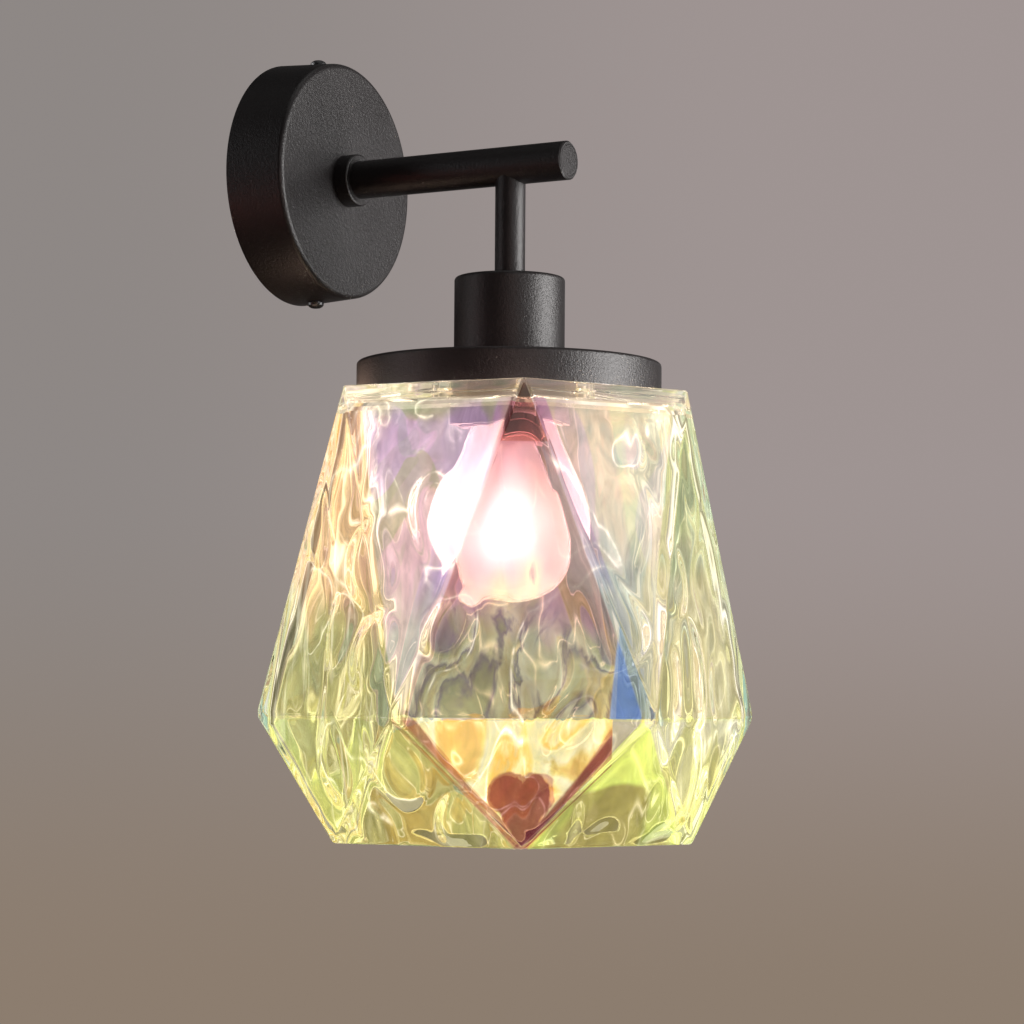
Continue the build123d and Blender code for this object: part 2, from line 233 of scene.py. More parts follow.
def steps(m, fac, colours):
    """One colour per facet; colours are keyed by the direction, in degrees, that the facet faces."""
    keys = sorted(colours)
    stops = [(0.0, colours[keys[-1]] if keys[0] > 30 else colours[keys[0]])]
    for k0, k1 in zip(keys, keys[1:]):
        stops.append((((k0 + k1) / 2) / 360.0, colours[k1]))
    last = (keys[-1] + 30) / 360.0
    if last < 1.0:
        stops.append((last, colours[keys[0]]))
    if keys[0] > 30:
        stops.insert(1, ((keys[0] - 30) / 360.0, colours[keys[0]]))
    return m.ramp(fac, stops, "CONSTANT")


LAV = (0.64, 0.47, 0.72)
PINK = (0.90, 0.60, 0.62)
PEACH = (0.98, 0.52, 0.24)
CREAM = (0.98, 0.72, 0.44)
PALE = (0.72, 0.68, 0.54)
SAGE = (0.44, 0.46, 0.28)
YGREEN = (0.66, 0.62, 0.20)
LIME = (0.66, 0.80, 0.16)
OLIVE = (0.40, 0.34, 0.09)
GOLD = (1.00, 0.62, 0.12)
AQUA = (0.40, 0.62, 0.50)
DUSK = (0.56, 0.39, 0.19)
BLUE = (0.16, 0.24, 0.52)
MAROON = (0.30, 0.060, 0.070)
ROSE = (0.88, 0.50, 0.56)

# first and second tint of each facet
UP_HUNG = {4.1: AQUA, 64.1: PINK, 124.1: PEACH, 184.1: LAV, 244.1: CREAM, 304.1: YGREEN}
UP_HUNG_2 = {4.1: YGREEN, 64.1: CREAM, 124.1: YGREEN, 184.1: PINK, 244.1: PALE, 304.1: AQUA}
UP_HUNG_3 = {4.1: PALE, 64.1: SAGE, 124.1: GOLD, 184.1: SAGE, 244.1: PINK, 304.1: PALE}
UP_STAND = {34.1: LAV, 94.1: CREAM, 154.1: PEACH, 214.1: ROSE, 274.1: YGREEN, 334.1: AQUA}
UP_STAND_2 = {34.1: AQUA, 94.1: YGREEN, 154.1: OLIVE, 214.1: DUSK, 274.1: CREAM, 334.1: YGREEN}
LOW_HUNG = {34.1: YGREEN, 94.1: LIME, 154.1: YGREEN, 214.1: GOLD, 274.1: PALE, 334.1: YGREEN}
LOW_HUNG_2 = {34.1: GOLD, 94.1: OLIVE, 154.1: OLIVE, 214.1: CREAM, 274.1: YGREEN, 334.1: OLIVE}
LOW_STAND = {4.1: OLIVE, 64.1: YGREEN, 124.1: OLIVE, 184.1: OLIVE, 244.1: OLIVE, 304.1: YGREEN}
LOW_STAND_2 = {4.1: YGREEN, 64.1: GOLD, 124.1: GOLD, 184.1: YGREEN, 244.1: LIME, 304.1: LIME}
# how strongly each facet's painted glow shines: emission that stands in for the bulb's light caught in the glass
UP_HUNG_E = {4.1: .7, 64.1: .7, 124.1: .66, 184.1: 1.12, 244.1: 1.25, 304.1: .55}
UP_STAND_E = {34.1: .7, 94.1: .7, 154.1: .85, 214.1: .85, 274.1: .52, 334.1: .7}
LOW_HUNG_E = {34.1: .8, 94.1: .8, 154.1: 0.8, 214.1: 1.75, 274.1: 1.15, 334.1: .8}
LOW_STAND_E = {4.1: .8, 64.1: .8, 124.1: .75, 184.1: 1.0, 244.1: 1.5, 304.1: .9}


def grey(d):
    return {k: (v, v, v) for k, v in d.items()}


def film(m, wavy=False):
    """Colour of the film on the glass and strength of its painted glow, facet by facet."""
    co = m.coords()
    edge, rip = (m.node("ShaderNodeAttribute", attribute_name=n).outputs["Fac"] for n in ("stand", "ripple"))
    sep = m.node("ShaderNodeSeparateXYZ")
    m.link(co, sep.inputs[0])
    x, z = sep.outputs["X"], sep.outputs["Z"]
    y = m.math("SUBTRACT", sep.outputs["Y"], YS)
    ang = m.math("FRACT", m.math("ADD", m.math("DIVIDE", m.math("ARCTAN2", y, x), 2 * math.pi), 1.0))
    st = m.node("ShaderNodeMapping")
    st.inputs["Scale"].default_value = (1.0, 1.0, 0.5)
    m.link(co, st.inputs["Vector"])
    sk = m.node("ShaderNodeMapping")
    sk.inputs["Scale"].default_value = (1.0, 1.0, 0.16)
    m.link(co, sk.inputs["Vector"])
    big = m.noise(24.0, 2.0, 0.4, 1.2, vec=st.outputs["Vector"])
    fine = m.noise(70.0, 3.0, 0.55, 1.6, vec=st.outputs["Vector"])
    streak = m.noise(95.0, 3.0, 0.6, 1.2, vec=sk.outputs["Vector"])
    off = m.math("SUBTRACT", big, 0.5)
    # a swap between each facet's two tints, in drops that follow the relief, with a pale outline that is a painted
    # highlight
    drop = m.math("ADD", m.math("MULTIPLY", rip, 0.24), m.math("MULTIPLY", off, 1.0))
    swap = m.map_range(drop, -0.03, 0.09, 0.0, 1.0, smooth=True)
    band = m.math("SUBTRACT", 1.0, m.math("ABSOLUTE", m.math("DIVIDE", m.math("SUBTRACT", drop, 0.02), 0.10)), clamp=True)
    painted_highlight_line = m.math("SUBTRACT", 1.0, m.math("ABSOLUTE", m.math("DIVIDE", m.math("SUBTRACT", drop, 0.03), 0.032)), clamp=True)
    painted_highlight_line = m.math("MULTIPLY", m.math("MULTIPLY", painted_highlight_line, painted_highlight_line), m.map_range(fine, 0.34, 0.56, 0.15, 1.0, smooth=True))
    mv = m.node("ShaderNodeMapping")
    mv.inputs["Location"].default_value = (0.31, 0.17, 0.53)
    m.link(st.outputs["Vector"], mv.inputs["Vector"])
    other = m.noise(27.0, 2.0, 0.4, 1.0, vec=mv.outputs["Vector"])
    third = m.map_range(m.math("ADD", other, m.math("MULTIPLY", rip, 0.03)), 0.565, 0.60, 0.0, 1.0, smooth=True)
    low = m.map_range(m.math("ADD", z, m.math("MULTIPLY", off, 0.10)), -0.165, -0.190, 0.0, 1.0, smooth=True)
    roof = m.map_range(m.math("ADD", z, m.math("MULTIPLY", off, 0.03)), -0.112, -0.105, 0.0, 1.0, smooth=True)
    hung = m.mix(swap, steps(m, ang, UP_HUNG), steps(m, ang, UP_HUNG_2))
    hung = m.mix(m.math("MULTIPLY", third, 0.8), hung, steps(m, ang, UP_HUNG_3))
    hung = m.mix(m.math("MULTIPLY", low, 0.55), hung, PALE)
    hung = m.mix(m.math("MULTIPLY", roof, 0.75), hung, SAGE)
    right_side = m.math("MULTIPLY", m.map_range(ang, 0.5950, 0.5955, 0.0, 1.0), m.map_range(ang, 0.762, 0.761, 0.0, 1.0))
    # painted reflection: the lower part of the right-front facet is painted pale grey and given a steady glow, standing
    # in for a soft light mirrored in it
    painted_reflection = m.math("MULTIPLY", right_side, m.map_range(m.math("ADD", z, m.math("MULTIPLY", off, 0.05)), -0.150, -0.185, 0.0, 1.0, smooth=True))
    hung = m.mix(m.math("MULTIPLY", painted_reflection, 0.85), hung, (0.60, 0.57, 0.52))
    stand_k = m.math("MAXIMUM", low, m.math("MULTIPLY", swap, 0.3))
    stand = m.mix(stand_k, steps(m, ang, UP_STAND), steps(m, ang, UP_STAND_2))
    # the facet over the bulb: dark wine at its point, painted shade where the dark lampholder shows through, and a blue
    # corner low on one side
    facing = rad(214.1)
    u = m.math("ADD", m.math("MULTIPLY", x, -math.sin(facing)), m.math("MULTIPLY", y, math.cos(facing)))
    near = m.map_range(m.math("ABSOLUTE", m.math("SUBTRACT", ang, 214.1 / 360.0)), 30.0 / 360.0, 29.6 / 360.0, 0.0, 1.0)
    tip = m.math("MULTIPLY", near, m.map_range(m.math("ADD", z, m.math("MULTIPLY", off, 0.012)), -0.123, -0.119, 0.0, 1.0, smooth=True))
    flow = m.math("ADD", m.math("ADD", drop, 0.5), m.math("MULTIPLY", m.math("SUBTRACT", fine, 0.5), 0.45))
    smoke = m.ramp(flow, [(0.24, (0.58, 0.48, 0.24)), (0.33, (0.22, 0.13, 0.20)), (0.39, (0.80, 0.66, 0.40)), (0.50, (0.56, 0.40, 0.17)),
                          (0.57, (0.20, 0.11, 0.17)), (0.62, (0.92, 0.72, 0.52)), (0.72, (0.52, 0.43, 0.22)), (0.82, (0.26, 0.16, 0.22))])
    stand = m.mix(m.math("MULTIPLY", m.math("MULTIPLY", near, low), 0.85), stand, smoke)
    stand = m.mix(tip, stand, MAROON)
    cold = m.map_range(m.math("SUBTRACT", u, m.math("MULTIPLY", m.math("ADD", z, 0.235), 0.10)), 0.0315, 0.0325, 0.0, 1.0, smooth=True)
    cold = m.math("MULTIPLY", m.math("MULTIPLY", cold, near), m.map_range(z, -0.172, -0.186, 0.0, 1.0, smooth=True))
    stand = m.mix(cold, stand, BLUE)
    lhung = m.mix(swap, steps(m, ang, LOW_HUNG), steps(m, ang, LOW_HUNG_2))
    # the lower front facet: gold and orange film with pale near-white patches painted as highlights
    gold_and_painted_highlights = m.ramp(flow, [(0.24, (0.92, 0.52, 0.14)), (0.31, (1.0, 0.74, 0.26)), (0.39, (1.0, 0.94, 0.68)), (0.51, (1.0, 0.88, 0.50)), (0.58, (1.0, 0.60, 0.12)),
                           (0.66, (1.0, 0.84, 0.46)), (0.76, (1.0, 0.64, 0.20)), (0.84, (0.95, 0.52, 0.38))])
    lhung = m.mix(near, lhung, gold_and_painted_highlights)
    # the gold facet below it: a wine-dark patch in its point and along one side
    ash = m.math("MULTIPLY", m.map_range(m.math("ADD", u, m.math("MULTIPLY", off, 0.004)), 0.0340, 0.0346, 0.0, 1.0, smooth=True), near)
    lhung = m.mix(ash, lhung, (0.42, 0.36, 0.34))
    bent = m.math("ADD", u, m.math("MULTIPLY", m.math("SUBTRACT", fine, 0.5), 0.010))
    side = m.math("SUBTRACT", m.math("ABSOLUTE", bent), 0.0058)
    rise = m.math("ADD", z, 0.2545)
    lobe = m.math("SUBTRACT", 0.0068, m.math("SQRT", m.math("ADD", m.math("MULTIPLY", side, side), m.math("MULTIPLY", rise, rise))))
    point_v = m.math("SUBTRACT", m.math("MULTIPLY", m.math("ADD", z, 0.2750), 0.62), m.math("ABSOLUTE", bent))
    point_v = m.math("MINIMUM", point_v, m.math("SUBTRACT", -0.2545, z))
    heart = m.math("ADD", m.math("MAXIMUM", lobe, point_v), m.math("MULTIPLY", off, 0.010))
    heart = m.map_range(heart, -0.0006, 0.0006, 0.0, 1.0, smooth=True)
    flank = m.map_range(m.math("ADD", m.math("SUBTRACT", u, m.math("MULTIPLY", m.math("ADD", z, 0.2263), 0.80)), m.math("MULTIPLY", off, 0.02)), 0.038, 0.040, 0.0, 1.0, smooth=True)
    flank = m.math("MULTIPLY", flank, m.math("SUBTRACT", 1.0, ash))
    hem = m.map_range(m.math("ADD", m.math("MULTIPLY", m.math("ADD", u, m.math("MULTIPLY", m.math("ADD", z, 0.2263), 0.90)), -1.0), m.math("MULTIPLY", off, 0.006)),
                      0.0418, 0.0425, 0.0, 1.0, smooth=True)
    flank = m.math("MAXIMUM", flank, m.math("MULTIPLY", hem, 0.8))
    dark = m.math("MULTIPLY", m.math("MAXIMUM", heart, flank), near)
    lhung = m.mix(dark, lhung, MAROON)
    lstand = m.mix(swap, steps(m, ang, LOW_STAND), steps(m, ang, LOW_STAND_2))
    # the tip of the standing facet on the right is lime
    lime = m.map_range(m.math("ADD", z, m.math("MULTIPLY", off, 0.02)), -0.2535, -0.2505, 0.0, 1.0, smooth=True)
    lime = m.math("MULTIPLY", lime, right_side)
    lstand = m.mix(lime, lstand, (0.74, 0.86, 0.20))
    k_stand = m.map_range(edge, -0.35, 0.35, 0.0, 1.0, smooth=True)
    waver = m.math("MULTIPLY", m.math("SUBTRACT", fine, 0.5), 0.006 if wavy else 0.0)
    k_low = m.map_range(m.math("ADD", z, waver), GL_MID + 0.0002, GL_MID - 0.0002, 0.0, 1.0)
    k_rest = m.math("MAXIMUM", m.map_range(z, GL_TOP - PLATE - 0.0012, GL_TOP - PLATE - 0.0004, 0.0, 1.0),
                    m.map_range(z, GL_BOT + 0.0012, GL_BOT + 0.0006, 0.0, 1.0))
    # beside that facet the thickness of the wall shows violet, and blue lower down
    seam = m.math("MULTIPLY", m.map_range(edge, -3.2, -2.4, 0.0, 1.0, smooth=True), near)
    inward = m.math("ADD", m.math("ABSOLUTE", u), m.math("MULTIPLY", m.math("ADD", z, 0.096), 0.129))
    seam = m.math("MULTIPLY", seam, m.map_range(inward, 0.034, 0.032, 0.0, 1.0))
    seam = m.math("MULTIPLY", seam, m.map_range(u, -0.005, 0.005, 0.35, 0.95))
    seam = m.math("MULTIPLY", seam, m.map_range(z, -0.172, -0.180, 1.0, 0.30))
    hung = m.mix(seam, hung, m.mix(m.map_range(z, -0.150, -0.185, 0.0, 1.0, smooth=True), (0.56, 0.22, 0.42), (0.45, 0.45, 0.70)))
    col = m.mix(k_low, m.mix(k_stand, hung, stand), m.mix(k_stand, lhung, lstand))
    col = m.mix(k_rest, col, (0.55, 0.52, 0.38))
    e_up = m.mix(k_stand, steps(m, ang, grey(UP_HUNG_E)), steps(m, ang, grey(UP_STAND_E)))
    e_low = m.mix(k_stand, steps(m, ang, grey(LOW_HUNG_E)), steps(m, ang, grey(LOW_STAND_E)))
    e_up = m.mix(m.math("MULTIPLY", m.math("MULTIPLY", painted_reflection, 0.9), m.math("SUBTRACT", 1.0, k_stand)), e_up, (0.54, 0.54, 0.54))
    clear = m.math("MULTIPLY", near, m.math("SUBTRACT", 1.0, low))
    e_up = m.mix(m.math("MULTIPLY", clear, k_stand), e_up, (0.22, 0.22, 0.22))
    e_up = m.mix(m.math("MULTIPLY", cold, k_stand), e_up, (1.8, 1.8, 1.8))
    e_low = m.mix(m.math("MULTIPLY", lime, k_stand), e_low, (1.7, 1.7, 1.7))
    # amt: strength of the painted glow, facet by facet
    amt = m.mix(k_rest, m.mix(k_low, e_up, e_low), (0.12, 0.12, 0.12))
    # the facets seen edge-on get fine upright streaks of painted highlight
    sk_amt = m.map_range(m.math("ABSOLUTE", u), 0.045, 0.062, 0.0, 1.0, smooth=True)
    sk_line = m.math("MULTIPLY", sk_amt, m.map_range(streak, 0.54, 0.66, 0.0, 1.0, smooth=True))
    painted_highlight_line = m.math("MAXIMUM", painted_highlight_line, m.math("MULTIPLY", sk_line, 0.55))
    painted_highlight_line = m.math("MULTIPLY", painted_highlight_line, m.math("SUBTRACT", 1.0, m.math("MAXIMUM", m.math("MAXIMUM", tip, dark), m.math("MULTIPLY", painted_reflection, 0.8))))
    murk = m.math("MULTIPLY", m.math("MULTIPLY", near, low), m.math("MULTIPLY", k_stand, m.math("SUBTRACT", 1.0, k_low)))
    # on the flat outside the wine point, painted shade of the lampholder seen through, and the blue corner end on
    # straight lines
    point = m.math("MULTIPLY", m.map_range(z, -0.1212, -0.1204, 0.0, 1.0, smooth=True), m.math("MULTIPLY", near, k_stand))
    point = m.math("MULTIPLY", point, m.map_range(z, -0.0975, -0.0985, 0.0, 1.0))
    corner = m.math("SUBTRACT", u, m.math("ADD", m.math("MULTIPLY", m.math("ADD", z, 0.2263), 0.043), 0.0349))
    corner = m.math("MULTIPLY", m.map_range(corner, -0.0002, 0.0003, 0.0, 1.0), m.math("MULTIPLY", near, k_stand))
    corner = m.math("MULTIPLY", corner, m.math("MULTIPLY", m.math("SUBTRACT", 1.0, k_low), m.map_range(z, -0.190, -0.191, 0.0, 1.0)))
    rosy = m.mix(m.map_range(z, -0.143, -0.124, 0.0, 1.0, smooth=True), (1.0, 0.36, 0.43), (0.66, 0.20, 0.38))
    clear = m.math("MULTIPLY", m.math("MULTIPLY", clear, k_stand), m.math("SUBTRACT", 1.0, k_low))
    return dict(rosy=rosy, clear=clear, col=col, amt=amt, painted_highlight_line=painted_highlight_line, fine=fine, dark=m.math("MULTIPLY", dark, m.math("MULTIPLY", k_low, m.math("SUBTRACT", 1.0, k_stand))),
                murk=murk, point=point, corner=corner, z=z)


def through(m, col, k):
    """The tint of what shows through the film: the film's colour at full brightness, weakened by k."""
    top = m.mix(1.0, col, (1.35, 1.35, 1.35), "MULTIPLY")
    return m.mix(k, (1.0, 1.0, 1.0), top)


def glass_outside():
    """The flat polished outside: clear, a little tinted by the film, with its iridescent reflection."""
    m = Mat("shade_glass_outside")
    f = film(m)
    col, z = f["col"], f["z"]
    tint = through(m, col, m.math("ADD", m.math("MULTIPLY", f["dark"], 0.45), 0.40))
    # painted shade: the point is tinted dark wine, darker towards the top, where the dark lampholder shows through
    tint = m.mix(f["point"], tint, m.mix(m.map_range(z, -0.1110, -0.1085, 0.0, 1.0, smooth=True), (0.64, 0.25, 0.17), (0.32, 0.12, 0.08)))
    tint = m.mix(f["corner"], tint, (0.26, 0.42, 0.85))
    # the flat top's thickness is tan, with a painted glow of sage and rose
    top = m.map_range(z, GL_TOP - PLATE - 0.001, GL_TOP - PLATE + 0.001, 0.0, 1.0)
    top = m.math("MULTIPLY", top, m.math("SUBTRACT", 1.0, f["point"]))
    tint = m.mix(m.math("MULTIPLY", top, 0.85), tint, (0.74, 0.60, 0.42))
    m.link(tint, m.b.inputs["Base Color"])
    mp = m.node("ShaderNodeMapping")
    mp.inputs["Scale"].default_value = (1.0, 1.0, 5.0)
    m.link(m.coords(), mp.inputs["Vector"])
    w = m.noise(26.0, 2.0, 0.5, 0.6, vec=mp.outputs["Vector"])
    m.link(m.ramp(w, [(0.40, (0.40, 0.48, 0.36)), (0.50, (0.78, 0.58, 0.52)), (0.58, (0.62, 0.46, 0.30))]), m.b.inputs["Emission Color"])
    m.link(m.math("MULTIPLY", top, 0.17), m.b.inputs["Emission Strength"])
    m.set(Transmission_Weight=1.0, Roughness=0.0, IOR=1.5, Thin_Film_Thickness=400.0, Thin_Film_IOR=1.56)
    return m.m


def glass_inside():
    """The hammered inside: tinted by the film, with a painted glow in the film's colours that stands in for the bulb's
    light caught in the glass.
    """
    m = Mat("shade_glass_inside")
    f = film(m, wavy=True)
    col, amt, painted_highlight_line, fine = f["col"], f["amt"], f["painted_highlight_line"], f["fine"]
    tint = through(m, col, m.math("ADD", m.math("MULTIPLY", f["murk"], 0.35), 0.55))
    m.link(m.mix(m.math("MULTIPLY", f["clear"], 0.92), tint, f["rosy"]), m.b.inputs["Base Color"])
    m.set(Transmission_Weight=1.0, Roughness=0.006, IOR=1.5)
    mod = m.map_range(fine, 0.3, 0.7, 0.6, 1.4)
    # the painted glow turns near-white along the painted highlight lines
    painted_glow_col = m.mix(m.math("MULTIPLY", painted_highlight_line, 0.85), col, (2.6, 2.4, 1.9))
    m.link(painted_glow_col, m.b.inputs["Emission Color"])
    m.link(m.math("MULTIPLY", m.math("MULTIPLY", mod, amt), PAINTED_GLOW), m.b.inputs["Emission Strength"])
    return m.m


PAINTED_GLOW = 0.40


# ------------------------------------------------------------------ mesh helpers
def new_object(name, me, mat, body, replaces=()):
    o = bpy.data.objects.new(name, me)
    SC.collection.objects.link(o)
    me.materials.append(mat)
    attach(o, body)
    if replaces:
        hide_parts(*replaces)
    return o


def lathe(name, profile, segments, mat, body, replaces=(), smooth=True, centre=(0.0, YS), closed=True, split=None):
    """Closed solid of revolution about the stem's axis from (radius, z) points."""
    pts = []
    rings = []
    for r, z in profile:
        if r < 1e-7:
            rings.append([len(pts)])
            pts.append((centre[0], centre[1], z))
        else:
            rings.append(list(range(len(pts), len(pts) + segments)))
            for i in range(segments):
                a = 2 * math.pi * i / segments
                pts.append((centre[0] + r * math.cos(a), centre[1] + r * math.sin(a), z))
    faces = []
    n = len(rings)
    for k in range(n if closed else n - 1):
        a, b = rings[k], rings[(k + 1) % n]
        if len(a) == 1 and len(b) == 1:
            continue
        for i in range(segments):
            j = (i + 1) % segments
            if len(a) == 1:
                faces.append((a[0], b[j], b[i]))
            elif len(b) == 1:
                faces.append((a[i], a[j], b[0]))
            else:
                faces.append((a[i], a[j], b[j], b[i]))
    me = bpy.data.meshes.new(name)
    me.from_pydata(pts, [], faces)
    me.validate()
    bm = bmesh.new()
    bm.from_mesh(me)
    bmesh.ops.recalc_face_normals(bm, faces=bm.faces)
    bm.to_mesh(me)
    bm.free()
    if smooth:
        me.shade_smooth()
        if split:
            me.set_sharp_from_angle(angle=rad(split))
    return new_object(name, me, mat, body, replaces)


# ------------------------------------------------------------------ the glass shade
def hex_points(r, z, turn):
    return [Vector((r * math.cos(rad(turn + 60 * i)), YS + r * math.sin(rad(turn + 60 * i)), z)) for i in range(6)]


def plane_of(a, b, c):
    n = np.cross(np.array(b) - np.array(a), np.array(c) - np.array(a))
    n /= np.linalg.norm(n)
    d = float(np.dot(n, np.array(a)))
    mid = np.array((0.0, YS, GL_MID))
    if np.dot(n, mid) > d:
        n, d = -n, -d
    return n, d


def planes(rt, rm, rb):
    a, b, c = hex_points(rt, GL_TOP, TURN), hex_points(rm, GL_MID, TURN + 30), hex_points(rb, GL_BOT, TURN)
    up, low = [], []
    for i in range(6):
        j = (i + 1) % 6
        up.append(plane_of(a[i], a[j], b[i]))
        up.append(plane_of(b[i], b[j], a[j]))
        low.append(plane_of(b[i], b[j], c[j]))
        low.append(plane_of(c[i], c[j], b[i]))
    return up, low


def wall_radius(theta, z, pl, soft):
    """Distance from the stem's axis to the faceted wall, with the corners rounded by soft."""
    u = np.stack([np.cos(theta), np.sin(theta)], -1)
    out = []
    for n, d in pl:
        den = u[:, 0] * n[0] + u[:, 1] * n[1]
        num = d - n[2] * z - n[1] * YS
        out.append(np.where(den > 0.15, num / np.maximum(den, 0.15), 1.0))
    out = np.stack(out, -1)
    m = out.min(-1, keepdims=True)
    return (m[..., 0] - soft * np.log(np.exp(-(out - m) / soft).sum(-1)))


def ripples(p, seed=11):
    """Height of the inner face: large soft hammered drops on slow swells."""
    rng = np.random.default_rng(seed)
    rr = 0.080
    n = 2400
    th = rng.uniform(0, 2 * np.pi, n)
    zz = rng.uniform(GL_BOT - 0.02, GL_TOP + 0.02, n)
    cand = np.stack([rr * np.cos(th), YS + rr * np.sin(th), zz], -1)
    keep = []
    for q in cand:
        if all(np.sum((q - k) ** 2 * np.array((1, 1, 0.5))) > 0.0225 ** 2 for k in keep):
            keep.append(q)
    c = np.array(keep)
    size = rng.uniform(0.8, 1.25, len(c))
    high = rng.uniform(0.35, 1.0, len(c)) * np.where(rng.uniform(0, 1, len(c)) < 0.72, 1.0, -0.7)
    ax = p - np.array((0, YS, 0))
    radial = np.linalg.norm(ax[:, :2], axis=1, keepdims=True)
    flat = np.concatenate([ax[:, :2] / np.maximum(radial, 1e-6) * rr + np.array((0, YS)), p[:, 2:3]], 1)
    # warp the space a little, so the drops aren't round
    warp = np.zeros_like(flat)
    for k in range(5):
        w = rng.normal(0, 1, 3)
        w *= 2 * np.pi / rng.uniform(0.030, 0.060) / np.linalg.norm(w)
        warp += np.sin(flat @ w + rng.uniform(0, 6.28))[:, None] * rng.normal(0, 1, 3) * 0.0016
    q0 = flat + warp
    stretch = np.array((1.0, 1.0, 0.66))
    crest, dip = np.zeros(len(p)), np.zeros(len(p))
    for q, s, h in zip(c, size, high):
        d = np.sqrt((((q0 - q) * stretch) ** 2).sum(1)) / (0.0128 * s)
        t = np.clip((1.12 - d) * 1.7, 0, 1)
        t = h * t * t * (3 - 2 * t)
        if h > 0:
            crest = np.maximum(crest, t)
        else:
            dip = np.minimum(dip, t)
    drops = crest + dip
    swell = np.zeros(len(p))
    for k in range(12):
        w = rng.normal(0, 1, 3) * np.array((1, 1, 0.45))
        w *= 2 * np.pi / rng.uniform(0.042, 0.085) / np.linalg.norm(w)
        swell += np.sin(flat @ w + rng.uniform(0, 6.28)) / 12 ** 0.5
    return 0.0024 * (drops - 0.30) + 0.0010 * swell


